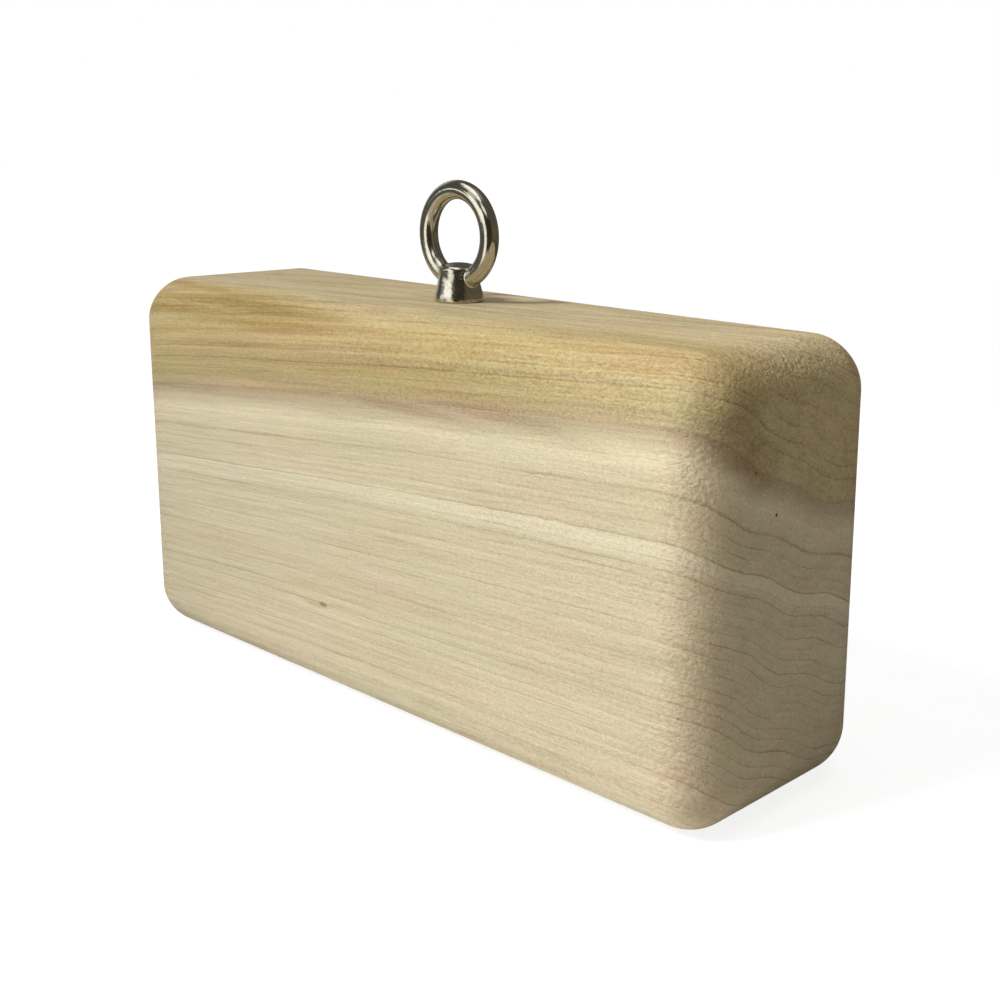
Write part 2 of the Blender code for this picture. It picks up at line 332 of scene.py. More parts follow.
class Nodes:
    """The nodes of a material or of the world, and the shader that they feed."""

    def __init__(self, tree, shader, **fixed):
        self.tree = tree
        self.shader = tree.nodes[shader]
        for socket, value in fixed.items():
            self.shader.inputs[socket.replace("_", " ")].default_value = value

    def plug(self, target, value):
        if isinstance(value, Socket):
            self.tree.links.new(value.link, target)
        else:
            target.default_value = value

    def node(self, kind, settings, inputs, output=0):
        """Adds a node, sets it up, then fills its sockets."""
        made = self.tree.nodes.new("ShaderNode" + kind)
        for name, value in settings.items():
            if name == "stops":
                set_stops(made.color_ramp, value)
            elif name == "points":
                set_points(made.mapping, value)
            else:
                setattr(made, name, value)
        for name, value in inputs.items():
            self.plug(made.inputs[name], value)
        return Socket(self, made.outputs[output])

    def show(self, **varying):
        """Links what changes to the shader."""
        for socket, value in varying.items():
            self.plug(self.shader.inputs[socket.replace("_", " ")], value)

    def place(self):
        """The point on the piece, in millimetres, as three numbers."""
        point = self.node("TexCoord", {}, {}, "Object")
        return [self.node("SeparateXYZ", {}, {0: point}, axis) / MM for axis in "XYZ"]

    def point(self, x, y, z):
        return self.node("CombineXYZ", {}, {0: x, 1: y, 2: z})

    def cloud(self, point, scale, detail=2.0, roughness=0.5):
        """Soft noise about zero, mostly from -1 to 1."""
        value = self.node(
            "TexNoise",
            {"noise_dimensions": "3D"},
            {"Vector": point, "Scale": scale, "Detail": detail, "Roughness": roughness},
        )
        return (value - 0.5) * 4

    def specks(self, point, scale, size, share):
        """Soft dots in a share of the cells of a 3D pattern, 1 in their middle."""
        inputs = {"Vector": point, "Scale": scale}
        away = self.node("TexVoronoi", {}, inputs, "Distance")
        colour = self.node("TexVoronoi", {}, inputs, "Color")
        chosen = self.node("SeparateColor", {}, {0: colour}).math("LESS_THAN", share)
        return self.step(away, size, size * 0.4) * chosen

    def step(self, value, start, end):
        """0 at start and 1 at end, with a smooth rise between them."""
        return self.node(
            "MapRange", {"interpolation_type": "SMOOTHSTEP"}, {0: value, 1: start, 2: end}
        )

    def slope(self, value, start, end):
        """0 at start and 1 at end, with an even rise between them."""
        return self.node("MapRange", {}, {0: value, 1: start, 2: end})

    def between(self, value, span, edge):
        """1 inside a span and 0 outside it, with soft edges of a given width."""
        start, end = span
        rise = self.step(value, start - edge / 2, start + edge / 2)
        return rise * self.step(value, end + edge / 2, end - edge / 2)

    def spot(self, place, centre, size):
        """1 at the centre of an ellipsoid with these half sizes, falling to 0 at its skin."""
        parts = [(here - there) / half for here, there, half in zip(place, centre, size)]
        reach = parts[0] * parts[0] + parts[1] * parts[1] + parts[2] * parts[2]
        return self.step(reach, 1.0, 0.1)

    def mix(self, share, first, second, blend="MIX"):
        return self.node(
            "Mix", {"data_type": "RGBA", "blend_type": blend}, {0: share, 6: first, 7: second}, 2
        )

    def multiply(self, colour, *shades):
        """Multiplies a colour by each of some (share, tint) pairs."""
        for share, tint in shades:
            colour = self.mix(share, colour, tint, "MULTIPLY")
        return colour

    def ramp(self, value, stops):
        return self.node("ValToRGB", {"stops": stops}, {0: value})

    def curve(self, value, points):
        return self.node("FloatCurve", {"points": points}, {"Value": value})

    def relief(self, height, depth):
        """A bump from a height in parts of depth, in metres."""
        return self.node("Bump", {}, {"Strength": 1.0, "Distance": depth, "Height": height})

    def seen_rays(self):
        """1 for what the camera, glass and metal see, and 0 for rays that carry light."""
        camera, glossy, through = (
            self.node("LightPath", {}, {}, name)
            for name in ("Is Camera Ray", "Is Glossy Ray", "Is Transmission Ray")
        )
        return camera.math("MAXIMUM", glossy).math("MAXIMUM", through)


class Finish(Nodes):
    """A material in the making, on one Principled shader."""

    def __init__(self, name, **fixed):
        self.material = bpy.data.materials.new(name)
        self.material.use_nodes = True
        super().__init__(self.material.node_tree, "Principled BSDF", **fixed)

    def show(self, **varying):
        super().show(**varying)
        return self.material


def set_stops(ramp, stops):
    """Fills a colour ramp from (place, colour) pairs."""
    while len(ramp.elements) < len(stops):
        ramp.elements.new(1.0)
    for element, (place, colour) in zip(ramp.elements, stops):
        element.position = place
        element.color = colour


def set_points(mapping, points):
    """Fills a curve with straight runs between (x, y) points, all from 0 to 1."""
    curve = mapping.curves[0]
    while len(curve.points) < len(points):
        curve.points.new(0.5, 0.5)
    for knot, (x, y) in zip(curve.points, points):
        knot.location = (x, y)
        knot.handle_type = "VECTOR"
    mapping.update()


def paint(red, green, blue):
    """A colour as it looks on a screen, from 0 to 255, for a shader."""
    return (*((part / 255) ** 2.2 for part in (red, green, blue)), 1.0)


def grey(level):
    return (level, level, level, 1)


def add_piece(name, mesh):
    piece = bpy.data.objects.new(name, mesh)
    bpy.context.scene.collection.objects.link(piece)
    return piece


def bake_modifiers(piece):
    """Replaces the piece's mesh by the one that its modifiers make."""
    depsgraph = bpy.context.evaluated_depsgraph_get()
    made = bpy.data.meshes.new_from_object(piece.evaluated_get(depsgraph))
    piece.modifiers.clear()
    piece.data = made


def mesh_from(name, bm):
    mesh = bpy.data.meshes.new(name)
    bm.to_mesh(mesh)
    bm.free()
    return mesh


def turned_mesh(name, rows, steps):
    """A solid of rows of points round Z, from the bottom up. A row is a radius, or a function
    that gives the radius at an angle, and a height."""
    bm = bmesh.new()
    loops = []
    for radius, height in rows:
        loop = []
        for i in range(steps):
            angle = math.tau * i / steps
            reach = radius(angle) if callable(radius) else radius
            loop.append(bm.verts.new((reach * math.cos(angle), reach * math.sin(angle), height)))
        loops.append(loop)
    for low, high in zip(loops, loops[1:]):
        for i in range(steps):
            j = (i + 1) % steps
            bm.faces.new((low[i], low[j], high[j], high[i]))
    bm.faces.new(loops[0][::-1])
    bm.faces.new(loops[-1])
    return mesh_from(name, bm)


def ring_mesh(name, section, steps, gap=0.0, lean=0.0):
    """A section of (radius, height) points swept round Z. A gap, as an angle, leaves it open
    with closed ends, and a lean slants them by an angle for each metre of height."""
    bm = bmesh.new()
    loops = []
    for i in range(steps + 1 if gap else steps):
        turn = gap / 2 + (math.tau - gap) * i / steps
        loop = []
        for radius, height in section:
            angle = turn + lean * height
            loop.append(bm.verts.new((radius * math.cos(angle), radius * math.sin(angle), height)))
        loops.append(loop)
    for this, following in zip(loops, loops[1:] if gap else loops[1:] + loops[:1]):
        for k in range(len(section)):
            n = (k + 1) % len(section)
            bm.faces.new((this[k], following[k], following[n], this[n]))
    if gap:
        bm.faces.new(loops[0])
        bm.faces.new(loops[-1][::-1])
    bmesh.ops.recalc_face_normals(bm, faces=bm.faces[:])
    return mesh_from(name, bm)


def cut(piece, cutter):
    boolean = piece.modifiers.new("cut", "BOOLEAN")
    boolean.operation = "DIFFERENCE"
    boolean.solver = "MANIFOLD"
    boolean.object = cutter
    bake_modifiers(piece)
    bpy.data.objects.remove(cutter)


def dress(piece, material):
    piece.data.materials.clear()
    piece.data.materials.append(material)


def smooth(piece, degrees):
    piece.data.shade_smooth()
    piece.data.set_sharp_from_angle(angle=math.radians(degrees))


def broken_section(inner, outer, low, high, edge):
    """A rectangle of (radius, height) points with its four corners broken."""
    return [
        (inner + edge, low),
        (outer - edge, low),
        (outer, low + edge),
        (outer, high - edge),
        (outer - edge, high),
        (inner + edge, high),
        (inner, high - edge),
        (inner, low + edge),
    ]


def spread(share, half):
    """Takes -1..1 to a block's half width, with the last steps in the rounded ends."""
    flat = half - EDGE_RADIUS
    size = abs(share)
    if size < FLAT_SHARE:
        place = flat * size / FLAT_SHARE
    else:
        turn = math.pi / 4 * (size - FLAT_SHARE) / (1 - FLAT_SHARE)
        place = flat + EDGE_RADIUS * math.tan(turn)
    return math.copysign(place, share)


def sanded_off(place, out):
    """How much more the sander took off at a point, most where the block is round."""
    roundness = 1 - max(abs(part) for part in out)
    broad, fine = (noise.noise(place * waves) for waves in SANDING_WAVES)
    wave = broad + 0.5 * fine
    return SANDING_DEPTH * min(3 * roundness, 1) * (0.5 + 0.4 * wave)


def make_wood_block():
    """The block as one fine mesh, a little uneven where it was rounded by hand."""
    bm = bmesh.new()
    bmesh.ops.create_cube(bm, size=2)
    bmesh.ops.subdivide_edges(bm, edges=bm.edges[:], cuts=BLOCK_CUTS, use_grid_fill=True)
    core = BLOCK_HALF - Vector((EDGE_RADIUS,) * 3)
    for vertex in bm.verts:
        place = Vector(spread(vertex.co[i], BLOCK_HALF[i]) for i in range(3))
        inner = Vector(max(-core[i], min(core[i], place[i])) for i in range(3))
        out = (place - inner).normalized()
        surface = BLOCK_CENTRE + inner + out * EDGE_RADIUS
        vertex.co = surface - out * max(sanded_off(surface, out), 0)
    block = add_piece("tulipwood_block", mesh_from("tulipwood_block", bm))
    drill = [
        (POCKET_RADIUS + POCKET_CHAMFER + DRILL_OVERRUN, -DRILL_OVERRUN),
        (POCKET_RADIUS, POCKET_CHAMFER),
        (POCKET_RADIUS, POCKET_DEPTH),
        (BORE_RADIUS, POCKET_DEPTH),
        (BORE_RADIUS, BLOCK_TOP + DRILL_OVERRUN),
    ]
    cut(block, add_piece("drill", turned_mesh("drill", drill, DRILL_STEPS)))
    smooth(block, 40)
    dress(block, Tulipwood().sanded())
    return block


def thread_radius(angle, height):
    """The outside of a screw whose crests, a pitch apart, climb to the right."""
    phase = (height / THREAD_PITCH - angle / math.tau) % 1
    from_crest = min(phase, 1 - phase)
    fall = (from_crest - CREST_FLAT / 2) * THREAD_PITCH * FLANK_SLOPE
    return THREAD_CREST - min(max(fall, 0), THREAD_DEPTH)


def wire_distance(points):
    """Distance to the ring's wire, negative inside it, from points over the block's top."""
    x, y, z = points.T
    across = np.hypot(x, z - RING_HEIGHT) - RING_RADIUS
    return np.hypot(across, y) - WIRE_RADIUS


def boss_distance(points):
    """Distance to the flared boss with its domed top and rounded rims."""
    x, y, z = points.T
    turn = math.pi * np.clip(z, 0, FLARE_HEIGHT) / FLARE_HEIGHT
    side = NECK_RADIUS + (FOOT_RADIUS - NECK_RADIUS) * (1 + np.cos(turn)) / 2
    slope = (FOOT_RADIUS - NECK_RADIUS) / 2 * math.pi / FLARE_HEIGHT * np.sin(turn)
    shell = (np.hypot(x, y) - side) / np.hypot(1, slope)
    dome = np.linalg.norm(points - (0, 0, BOSS_HEIGHT - DOME_RADIUS), axis=1) - DOME_RADIUS
    shell = round_corner(shell, dome, RIM_ROUND)
    return round_corner(shell, NUT_SEAT - z, FOOT_ROUND)


def round_corner(first, second, radius):
    """The distance to the part where both are negative, with a round edge between them."""
    first, second = first + radius, second + radius
    inside = np.minimum(np.maximum(first, second), 0)
    return inside + np.hypot(np.maximum(first, 0), np.maximum(second, 0)) - radius


def nut_distance(points):
    """Ring and boss as one casting, with a fillet where they meet."""
    wire, boss = wire_distance(points), boss_distance(points)
    share = np.clip(0.5 + (boss - wire) / JUNCTION_BLEND / 2, 0, 1)
    return boss + (wire - boss) * share - JUNCTION_BLEND * share * (1 - share)


def nut_slope(points):
    """The direction straight out of the casting at each point."""
    sides = np.eye(3) * SKIN_REACH
    slope = [nut_distance(points + side) - nut_distance(points - side) for side in sides]
    slope = np.stack(slope, axis=1)
    return slope / np.linalg.norm(slope, axis=1, keepdims=True)


def add_wire_ring(bm):
    """The ring's wire, standing over the origin in the plane of the block's long side."""
    loops = []
    for i in range(RING_STEPS):
        turn = math.tau * i / RING_STEPS
        loop = []
        for k in range(WIRE_STEPS):
            angle = math.tau * k / WIRE_STEPS
            reach = RING_RADIUS + WIRE_RADIUS * math.cos(angle)
            place = (
                reach * math.cos(turn),
                WIRE_RADIUS * math.sin(angle),
                RING_HEIGHT + reach * math.sin(turn),
            )
            loop.append(bm.verts.new(place))
        loops.append(loop)
    for this, following in zip(loops, loops[1:] + loops[:1]):
        for k in range(WIRE_STEPS):
            n = (k + 1) % WIRE_STEPS
            bm.faces.new((this[k], this[n], following[n], following[k]))


def make_ring_nut():
    """A cast ring on a flared boss with a closed top, tapped from below."""
    bm = bmesh.new()
    add_wire_ring(bm)
    rows = [(FOOT_RADIUS, 0), (NECK_RADIUS, FLARE_HEIGHT), (NECK_RADIUS, BOSS_HEIGHT)]
    bm.from_mesh(turned_mesh("boss", rows, BOSS_STEPS))
    bmesh.ops.recalc_face_normals(bm, faces=bm.faces[:])
    nut = add_piece("ring_nut", mesh_from("ring_nut", bm))
    remesh = nut.modifiers.new("skin", "REMESH")
    remesh.mode = "VOXEL"
    remesh.voxel_size = CASTING_VOXEL
    bake_modifiers(nut)

    points = read_points(nut.data)
    for _ in range(SKIN_PASSES):
        points -= nut_slope(points) * nut_distance(points)[:, None]
    points[:, 2] = np.maximum(points[:, 2], NUT_SEAT)
    nut.data.vertices.foreach_set("co", (points + (0, 0, BLOCK_TOP)).ravel())
    nut.data.update()

    cut(nut, add_piece("tap", turned_mesh("tap", tap_rows(), THREAD_STEPS)))
    polish(nut)
    dress(nut, polished_stainless())
    return nut


def tap_rows():
    """Rows of a tap that leaves the nut's blind thread, with a countersink at its mouth."""
    seat, end = BLOCK_TOP + NUT_SEAT, BLOCK_TOP + NUT_HOLE_DEPTH
    count = round((end - seat + TAP_OVERRUN) / (THREAD_PITCH / ROWS_PER_PITCH))
    rows = []
    for i in range(count):
        height = seat - TAP_OVERRUN + (end - seat + TAP_OVERRUN) * i / count
        mouth = THREAD_CREST + NUT_COUNTERSINK / 2 - (height - seat)

        def radius(angle, height=height, mouth=mouth):
            return max(thread_radius(angle, height) + THREAD_PLAY, NUT_BORE, mouth)

        rows.append((radius, height))
    rows += [(NUT_BORE, end), (NUT_HOLE_TIP, end + NUT_HOLE_POINT)]
    return rows


def read_points(mesh):
    points = np.empty(len(mesh.vertices) * 3)
    mesh.vertices.foreach_get("co", points)
    return points.reshape(-1, 3)


def polish(nut):
    """Gives the outside of the casting its exact normals, for clean reflections."""
    mesh = nut.data
    smooth(nut, 35)
    points = read_points(mesh) - (0, 0, BLOCK_TOP)
    slopes = nut_slope(points)
    on_skin = np.abs(nut_distance(points)) < SKIN_REACH
    normals = [tuple(corner.vector) for corner in mesh.corner_normals]
    for face in mesh.polygons:
        corners = list(face.vertices)
        agreement = Vector(slopes[corners[0]]).dot(face.normal)
        if agreement > SKIN_AGREEMENT and all(on_skin[v] for v in corners):
            for loop, v in zip(face.loop_indices, corners):
                normals[loop] = tuple(slopes[v])
    mesh.normals_split_custom_set(normals)


def head_radius(angle, height):
    """The bolt's hexagon, with its corners chamfered on the outer face."""
    sixth = math.tau / 6
    from_flat = (angle + sixth / 2) % sixth - sixth / 2
    chamfer = HEAD_FLAT_RADIUS + height / math.tan(HEAD_CHAMFER)
    return min(HEAD_HALF_FLATS / math.cos(from_flat), chamfer)


def head_rows():
    """Rows of the bolt's head, from its outer face to the one that bears on the washer."""
    outer_face = BEARING_FACE - HEAD_THICKNESS
    bearing = BEARING_FACE - SEAT_PLAY
    rows = [(HEAD_FLAT_RADIUS - HEAD_FACE_EDGE, outer_face)]
    for i in range(HEAD_CHAMFER_ROWS + 1):
        depth = HEAD_CHAMFER_DEPTH * i / HEAD_CHAMFER_ROWS
        rows.append((lambda angle, depth=depth: head_radius(angle, depth), outer_face + depth))
    rows.append((lambda angle: head_radius(angle, HEAD_THICKNESS), bearing - HEAD_BEARING_EDGE))
    rows.append((HEAD_BEARING_RADIUS, bearing))
    return rows


def shank_rows():
    """Rows of the bolt's shank, from under the head to the tip of its rolled thread."""
    bearing = BEARING_FACE - SEAT_PLAY
    tip = BEARING_FACE + BOLT_LENGTH
    start = tip - BOLT_THREAD_LENGTH
    fillet, rise = SHANK_FILLET
    rows = [
        (SHANK_RADIUS + fillet, bearing),
        (SHANK_RADIUS, bearing + rise),
        (SHANK_RADIUS, start - THREAD_PITCH),
    ]
    count = round((BOLT_THREAD_LENGTH + THREAD_PITCH) / (THREAD_PITCH / ROWS_PER_PITCH))
    for i in range(count + 1):
        height = start - THREAD_PITCH + (tip - start + THREAD_PITCH) * i / count
        point = THREAD_CREST - BOLT_POINT + (tip - height) * BOLT_POINT_SLOPE

        def radius(angle, height=height, point=point):
            groove = SHANK_RADIUS if height < start else thread_radius(angle, height)
            return min(groove, SHANK_RADIUS, point)

        rows.append((radius, height))
    return rows


def make_hex_bolt():
    """An M6 bolt with a rolled thread at its end."""
    rows = head_rows() + shank_rows()
    bolt = add_piece("through_bolt", turned_mesh("through_bolt", rows, THREAD_STEPS))
    smooth(bolt, 28)
    dress(bolt, zinc_plate())
    return bolt


def make_spring_washer():
    section = broken_section(
        SPRING_WASHER_INNER,
        SPRING_WASHER_OUTER,
        BEARING_FACE,
        WASHER_FACE - SEAT_PLAY,
        WASHER_EDGE,
    )
    middle = (SPRING_WASHER_INNER + SPRING_WASHER_OUTER) / 2
    gap = SLIT_WIDTH / math.cos(SLIT_LEAN) / middle
    lean = math.tan(SLIT_LEAN) / middle
    centre = (BEARING_FACE + WASHER_FACE) / 2
    mesh = ring_mesh("lock_washer", section, SPRING_WASHER_STEPS, gap, lean)
    mesh.transform(Matrix.Rotation(-lean * centre, 4, "Z"))
    washer = add_piece("lock_washer", mesh)
    smooth(washer, 30)
    dress(washer, zinc_plate())
    return washer


def make_flat_washer():
    section = broken_section(
        FLAT_WASHER_INNER,
        FLAT_WASHER_OUTER,
        WASHER_FACE,
        POCKET_DEPTH - SEAT_PLAY,
        WASHER_EDGE,
    )
    washer = add_piece("wide_washer", ring_mesh("wide_washer", section, FLAT_WASHER_STEPS))
    smooth(washer, 30)
    dress(washer, zinc_plate())
    return washer


def ring_place(depth):
    """Where a depth in the tree lies, from 0 at the first ring to 1 at the last."""
    first, last = RINGS[0][0], RINGS[-1][0]
    return (depth - first) / (last - first)


class Tulipwood(Finish):
    """Pale sapwood under olive-gold heartwood, with fine growth rings."""

    def __init__(self):
        super().__init__("sanded_tulipwood", IOR=1.45)
        self.here = self.place()
        self.lay_fibres()
        self.lay_layers()
        self.draw_rings()
        self.tear_grain()

    def lay_fibres(self):
        """Noises drawn out along the fibres, and where the block shows each kind of grain."""
        x, y, z = self.here
        self.along = self.point(x * 0.25, y, z)
        self.fibres = self.cloud(self.point(x * 0.28, y * 2.4, z * 2.4), 1.0, 2.0, 0.6)
        self.mottle = self.cloud(self.point(x * 0.8, y * 1.5, z * 1.5 + x * 0.12), 1.0, 2.0, 0.6)
        self.grain = self.cloud(self.point(x * 1.6, y * 2.8, z * 2.8), 1.0, 2.0, 0.6)
        self.patches = self.cloud(self.point(x * 0.4, y, z), 0.05, 2.0)
        self.end_grain = self.step(x.math("ABSOLUTE"), 92, 101)
        self.face_grain = 1 - self.end_grain * 0.7
        self.rough_side = self.slope(x, -120, 60)

    def smooth_depth(self):
        """How far out in the tree a point lies, in mm, as if its layers had no ripples."""
        x, y, z = self.here
        front = BLOCK_LOW.y / MM
        up = z - BLOCK_CENTRE.z / MM
        back = y - front
        bow = (x - LAYER_BOW_MIDDLE) / LAYER_BOW_REACH
        waves = ((y - up * WAVE_LEAN) * WAVE_TURN + WAVE_START).math("SINE")
        waves_in_front = ((front - up * WAVE_LEAN) * WAVE_TURN + WAVE_START).math("SINE")
        slant = (
            back * LAYER_SLANT
            - back * back * LAYER_CURL
            + (waves - waves_in_front) * LAYER_WAVE
        )
        fallen = up - (x - LAYER_X) * LAYER_FALL + slant
        return fallen / ((x - LAYER_X) * LAYER_SPREAD + 1) + bow * bow

    def lay_layers(self):
        """The depth in the tree with its ripples, noises that follow it, and the heartwood."""
        x, y, z = self.here
        ripple = self.cloud(self.point(x * 0.3, y * 0.6, z * 0.6), 1.0, 2.0)
        swell = self.cloud(self.along, 0.035, 1.0) * 0.45 + self.cloud(self.along, 0.22, 2.0) * 0.16
        depth = self.smooth_depth() + swell + ripple * (self.rough_side * 0.1 + 0.06)
        self.depth = depth
        self.lines = self.cloud(self.point(x * 0.016, y * 0.05, depth), 0.8, 4.0, 0.7)
        self.fine_lines = self.cloud(self.point(x * 0.06, y * 0.4, depth * 2.2), 1.0, 2.0, 0.6)
        self.bands = self.cloud(self.point(x * 0.014, y * 0.45, depth * 0.35), 1.0, 3.0, 0.6)
        rough_edge = self.fibres * 0.4 + self.mottle * 0.3 + self.lines * 0.25
        before, after = HEART_BLEND
        self.heart = self.step(depth + rough_edge, HEART_EDGE - before, HEART_EDGE + after)

    def draw_rings(self):
        """The dark first wood of each ring, as a thin line and as a shade that fades outwards."""
        x, y, _ = self.here
        last = len(RINGS) - 1
        starts = [(ring_place(depth), k / last) for k, (depth, _) in enumerate(RINGS)]
        number = self.curve(ring_place(self.depth), starts) * last
        across = number.math("FRACT")
        strengths = [(k / last, dark) for k, (_, dark) in enumerate(RINGS)]
        fading = self.cloud(self.point(x * 0.05, y * 0.09, self.depth * 0.35), 1.0, 2.0)
        strength = self.curve(number.math("FLOOR") / last, strengths) + fading * 0.35
        strength = strength.math("MAXIMUM", 0)
        self.ring_shade = self.step(across, 0.9, 0.0) * strength
        self.ring_line = self.step(across, 0.17, 0.04) * strength

    def tear_grain(self):
        """Grit where fibres end on the rounded ends, and where the sander wrinkled them."""
        x, y, z = self.here
        out = x.math("ABSOLUTE")
        self.torn = self.step(out, 86, 92) * (1 - self.step(out, 99, 102) * 0.6)
        self.wrinkled = sum(self.spot(self.here, centre, size) for centre, size in TORN_PLACES)
        self.grit = self.cloud(self.point(x * 0.7, y * 0.8, z), 1.2, 3.0, 0.5)

    def layers(self, colours):
        """A colour at each point from a list of colours at depths in the tree."""
        stops = [(ring_place(depth), paint(*colour)) for depth, colour in colours]
        return self.ramp(ring_place(self.depth), stops)

    def heartwood(self):
        """Heartwood with yellow and brown streaks, olive patches and a gold stain."""
        x, y, z = self.here
        streaks = self.cloud(self.point(x * 0.012, y * 0.06, self.depth * 0.5), 1.0, 3.0, 0.6)
        wood = self.layers(HEARTWOOD)
        for share, colour in (
            (self.step(streaks, 0.0, 1.0) * 0.5, YELLOW_STREAK),
            (self.step(streaks, 0.0, -1.0) * 0.5, BROWN_STREAK),
            (self.step(self.patches, 0.2, 1.0) * 0.5, OLIVE_PATCH),
            # Paler towards the right end, but not on the top face.
            (self.slope(x, 30, 110) * self.slope(z, 100, 94) * 0.55, PALE_HEARTWOOD),
        ):
            wood = self.mix(share, wood, paint(*colour))
        stain = self.spot(self.here, *GOLD_STAIN) * (self.bands * 0.25 + self.lines * 0.12 + 1)
        return self.multiply(wood, (stain, GOLD_TINT))

    def darkness(self):
        """How dark the figure makes each point. Below 0 it makes it paler."""
        x, y, z = self.here
        brown = self.between(self.depth, BROWN_LAYER, 3) * self.slope(x, *BROWN_REACH)
        end_patches = self.cloud(self.point(x, y, z + self.depth), 0.22, 3.0, 0.6)
        dashes = self.cloud(self.point(x * 0.13, y * 1.5 + 40, z * 1.5), 1.0, 2.0)
        line_share = (self.end_grain * 0.4 + 0.45) * (1 - self.end_grain * self.heart * 0.35)
        face_figure = self.face_grain * (
            self.lines * (self.heart * 0.12 + 0.27)
            + self.fine_lines * 0.23
            + self.bands * (self.heart * 0.22 + 0.14)
            + self.fibres * 0.12
        )
        marks = sum(
            self.spot(self.here, centre, size) * share for centre, size, share in WOOD_MARKS
        )
        return (
            self.ring_shade * 0.16
            + self.ring_line * line_share
            + brown * (self.bands * 0.2 + self.fibres * 0.15 + 0.45)
            + face_figure
            + self.mottle * (self.rough_side * 0.2 + self.heart * 0.16 + 0.04)
            + self.grain * (self.rough_side * 0.3 + self.heart * 0.2 + 0.02)
            + self.grit * (self.torn * 0.12 + self.wrinkled * 0.05)
            + end_patches * self.end_grain * 0.2
            + self.step(dashes, 0.5, 1.3) * 0.2
            + self.patches * 0.03
            + marks
        )

    def colour(self):
        x, y, _ = self.here
        hue = self.cloud(self.along, 0.12, 2.0)
        flush = self.between(x, (91, 99), 14) * self.step(y, -10, -24) * (1 - self.heart)
        darkness = self.darkness()
        colour = self.multiply(
            self.mix(self.heart, self.layers(SAPWOOD_WITH_PAINTED_LIGHT), self.heartwood()),
            (1.0, self.mix(self.step(hue, -0.9, 0.9), WARM_TINT, GREEN_TINT)),
            # Painted shade towards the left end and painted light towards the right.
            (1.0, self.mix(self.slope(x, -110, 110), LEFT_PAINTED_SHADE, RIGHT_PAINTED_LIGHT)),
            (flush, FLUSH_TINT),
            (self.end_grain, self.mix(self.heart, END_SAP_TINT, END_HEART_TINT)),
            (darkness, DARK_TINT),
            (-darkness, PALE_TINT),
        )
        # Where the marks are darkest, the colour turns to a pinhole's painted shade.
        return self.mix(self.step(darkness, 1.2, 2.6), colour, PINHOLE_PAINTED_SHADE)

    def height(self):
        """The relief that sanding leaves, in parts of WOOD_RELIEF."""
        return (
            self.lines * 0.3
            + self.fine_lines * 0.3
            + self.fibres * 0.4
            + self.mottle * 0.5
            - self.ring_line * 0.5
            + self.grain * self.rough_side * 0.6
            + self.grit * (self.torn * 2.2 + self.wrinkled * 1.8)
        )

    def sanded(self):
        return self.show(
            Base_Color=self.colour(),
            Roughness=self.fibres * 0.04 + 0.62,
            Normal=self.relief(self.height(), WOOD_RELIEF),
        )


def polished_stainless():
    """Tumbled and polished cast stainless, with a trace of the casting's waves."""
    steel = Finish("polished_stainless", Metallic=1.0)
    x, y, z = steel.place()
    here = steel.point(x, y, z)
    waves = steel.cloud(here, 0.45, 2.0)
    haze = steel.cloud(here, 1.3, 3.0)
    scratches = steel.cloud(steel.point(x * 4, y * 0.6, z * 4), 1.2, 2.0)
    pits = steel.specks(here, 1.5, 0.16, 0.12)
    boss_top = (BLOCK_TOP + BOSS_HEIGHT) / MM
    boss = steel.step(z, boss_top + 1.5, boss_top - 1.5)
    skin = steel.cloud(here, 1.1, 3.0, 0.6)
    colour = steel.mix(steel.step(haze, -0.6, 1.4), paint(198, 195, 185), paint(182, 178, 166))
    colour = steel.mix(boss * steel.step(skin, 0.3, 1.2) * 0.35, colour, paint(140, 136, 124))
    colour = steel.mix(pits * 0.5, colour, paint(90, 86, 78))
    return steel.show(
        Base_Color=colour,
        Roughness=haze * 0.03 + scratches * 0.02 + boss * (skin * 0.04 + 0.04) + 0.1,
        Normal=steel.relief(
            waves + boss * skin * 1.5 + scratches * 0.08 - pits * 0.5, CAST_RELIEF
        ),
    )


def zinc_plate():
    """Bright zinc plate with a fine crystal grain and a bluish tone."""
    if "zinc_plate" in bpy.data.materials:
        return bpy.data.materials["zinc_plate"]
    zinc = Finish("zinc_plate", Metallic=1.0)
    x, y, z = zinc.place()
    here = zinc.point(x, y, z)
    crystals = zinc.cloud(here, 2.2, 3.0, 0.65)
    stains = zinc.cloud(here, 0.3, 2.0)
    turning = (x * x + y * y).math("SQRT") * 30
    grooves = turning.math("SINE") * 0.2
    colour = zinc.mix(zinc.step(stains, -0.8, 1.2), paint(214, 218, 222), paint(190, 193, 196))
    colour = zinc.mix(zinc.step(crystals, 0.2, 1.4) * 0.4, colour, paint(168, 170, 172))
    return zinc.show(
        Base_Color=colour,
        Roughness=crystals * 0.06 + stains * 0.04 + 0.32,
        Normal=zinc.relief(crystals * 0.5 + grooves, ZINC_RELIEF),
    )


def white_floor():
    """A white sheet. The camera sees it lit up from behind, with the block's shadow kept."""
    sheet = Finish("white_floor", Roughness=1.0, Emission_Strength=1.0)
    x, y, _ = sheet.place()
    rays = sheet.seen_rays()
    near, far = FLOOR_FADE
    nearness = sheet.step((x * x + y * y).math("SQRT") * MM, far, near)
    behind = sheet.node("NewGeometry", {}, {}, "Backfacing")
    seen = sheet.mix(nearness, grey(0), grey(FLOOR_SHADED))
    glow = sheet.mix(nearness, grey(1), grey(FLOOR_GLOW))
    return sheet.show(
        Base_Color=sheet.mix(rays, grey(FLOOR_WHITE), seen),
        Emission_Color=sheet.mix(rays, grey(0), glow),
        Alpha=1 - behind,
    )


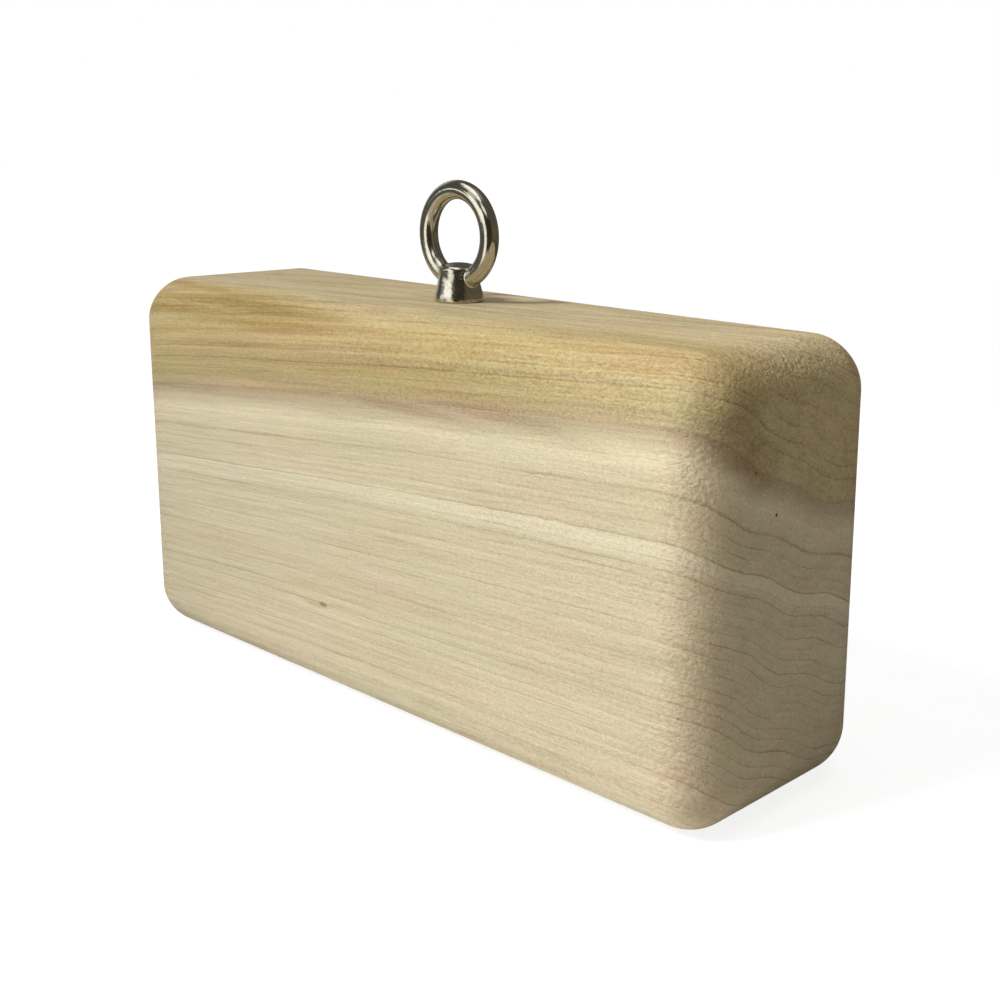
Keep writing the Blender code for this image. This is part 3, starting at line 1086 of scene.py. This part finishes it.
def make_camera():
    camera = bpy.data.objects.new("camera", bpy.data.cameras.new("camera"))
    bpy.context.scene.collection.objects.link(camera)
    camera.data.lens = CAMERA_LENS
    camera.data.shift_x, camera.data.shift_y = CAMERA_SHIFT
    camera.data.clip_start = CAMERA_NEAR
    turn = Matrix.Rotation(CAMERA_HEADING - math.pi / 2, 4, "Z")
    tilt = Matrix.Rotation(math.pi / 2 + CAMERA_PITCH, 4, "X")
    roll = Matrix.Rotation(CAMERA_ROLL, 4, "Z")
    camera.matrix_world = Matrix.Translation(CAMERA_PLACE) @ turn @ tilt @ roll
    bpy.context.scene.camera = camera


def make_softbox(name, place, size, power):
    """A lamp that faces the middle of the block and that the metal doesn't mirror."""
    lamp = bpy.data.lights.new(name, "AREA")
    lamp.shape = "RECTANGLE"
    lamp.size, lamp.size_y = size
    lamp.energy = power
    softbox = bpy.data.objects.new(name, lamp)
    bpy.context.scene.collection.objects.link(softbox)
    softbox.location = place
    softbox.rotation_mode = "QUATERNION"
    softbox.rotation_quaternion = (Vector(place) - BLOCK_CENTRE).to_track_quat("Z", "Y")
    softbox.visible_glossy = False


def make_floor():
    """A sheet with an opening under the block's flat, so that the underside isn't black."""
    outer = FLOOR_SIZE / 2
    inner_x = BLOCK_HALF.x - EDGE_RADIUS - FLOOR_MARGIN
    inner_y = BLOCK_HALF.y - EDGE_RADIUS - FLOOR_MARGIN
    corners = ((-1, -1), (1, -1), (1, 1), (-1, 1))
    bm = bmesh.new()
    outside = [bm.verts.new((sx * outer, sy * outer, -FLOOR_DROP)) for sx, sy in corners]
    inside = [bm.verts.new((sx * inner_x, sy * inner_y, -FLOOR_DROP)) for sx, sy in corners]
    for i in range(4):
        j = (i + 1) % 4
        bm.faces.new((outside[i], outside[j], inside[j], inside[i]))
    floor = add_piece("floor", mesh_from("floor", bm))
    dress(floor, white_floor())


def direction(bearing, height):
    """A unit vector at a bearing and a height over the horizon, in degrees."""
    bearing, height = math.radians(bearing), math.radians(height)
    level = math.cos(height)
    return Vector((level * math.sin(bearing), -level * math.cos(bearing), math.sin(height)))


def lit_tent():
    """The inside of a dark tent with bright patches that fade out at their edges."""
    cloth = Finish("lit_tent", Base_Color=(0, 0, 0, 1), Roughness=1.0, Emission_Strength=1.0)
    x, y, z = cloth.place()
    bearing = x.math("ARCTAN2", -y) * (180 / math.pi)
    height = z.math("ARCTAN2", (x * x + y * y).math("SQRT")) * (180 / math.pi)
    glow = TENT_CLOTH
    for bearings, heights, edge, colour in TENT_GLOWS:
        share = cloth.between(bearing, bearings, edge) * cloth.between(height, heights, edge)
        glow = cloth.mix(share, glow, (*colour, 1))
    return cloth.show(Emission_Color=glow)


def make_tent():
    """A tent round the set that only the metal sees."""
    bm = bmesh.new()
    round_steps, high_steps = TENT_STEPS
    bmesh.ops.create_uvsphere(
        bm, u_segments=round_steps, v_segments=high_steps, radius=TENT_RADIUS
    )
    for vertex in bm.verts:
        vertex.co.z = max(vertex.co.z, TENT_HEM - RING_PLACE.z)
    tent = add_piece("lit_tent", mesh_from("lit_tent", bm))
    tent.location = RING_PLACE
    dress(tent, lit_tent())
    tent.visible_camera = False
    tent.visible_diffuse = False
    tent.visible_transmission = False
    tent.visible_shadow = False


def light_the_studio():
    """A key lamp and a ceiling lamp, in a world that looks white and gives little light."""
    world = bpy.data.worlds.new("studio")
    world.use_nodes = True
    sky = Nodes(world.node_tree, "Background", Color=grey(1))
    sky.show(Strength=sky.node("MapRange", {}, {0: sky.seen_rays(), 3: SKY_LEVEL, 4: 1.0}))
    bpy.context.scene.world = world
    key_place = direction(KEY_BEARING, KEY_HEIGHT) * KEY_DISTANCE + BLOCK_CENTRE
    make_softbox("key", key_place, KEY_SIZE, KEY_POWER)
    make_softbox("ceiling", CEILING_PLACE, CEILING_SIZE, CEILING_POWER)


make_camera()
for piece, body, node, slot in (
    (make_wood_block(), "block", "wood_block", "wood"),
    (make_ring_nut(), "eye", "eye_nut", "stainless"),
    (make_hex_bolt(), "bolt", "hex_bolt", "zinc_steel"),
    (make_spring_washer(), "bolt", "spring_washer", "zinc_steel"),
    (make_flat_washer(), "bolt", "flat_washer", "zinc_steel"),
):
    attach(piece, body)
    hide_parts(node)
make_floor()
make_tent()
light_the_studio()

bpy.context.scene.view_settings.view_transform = "Standard"
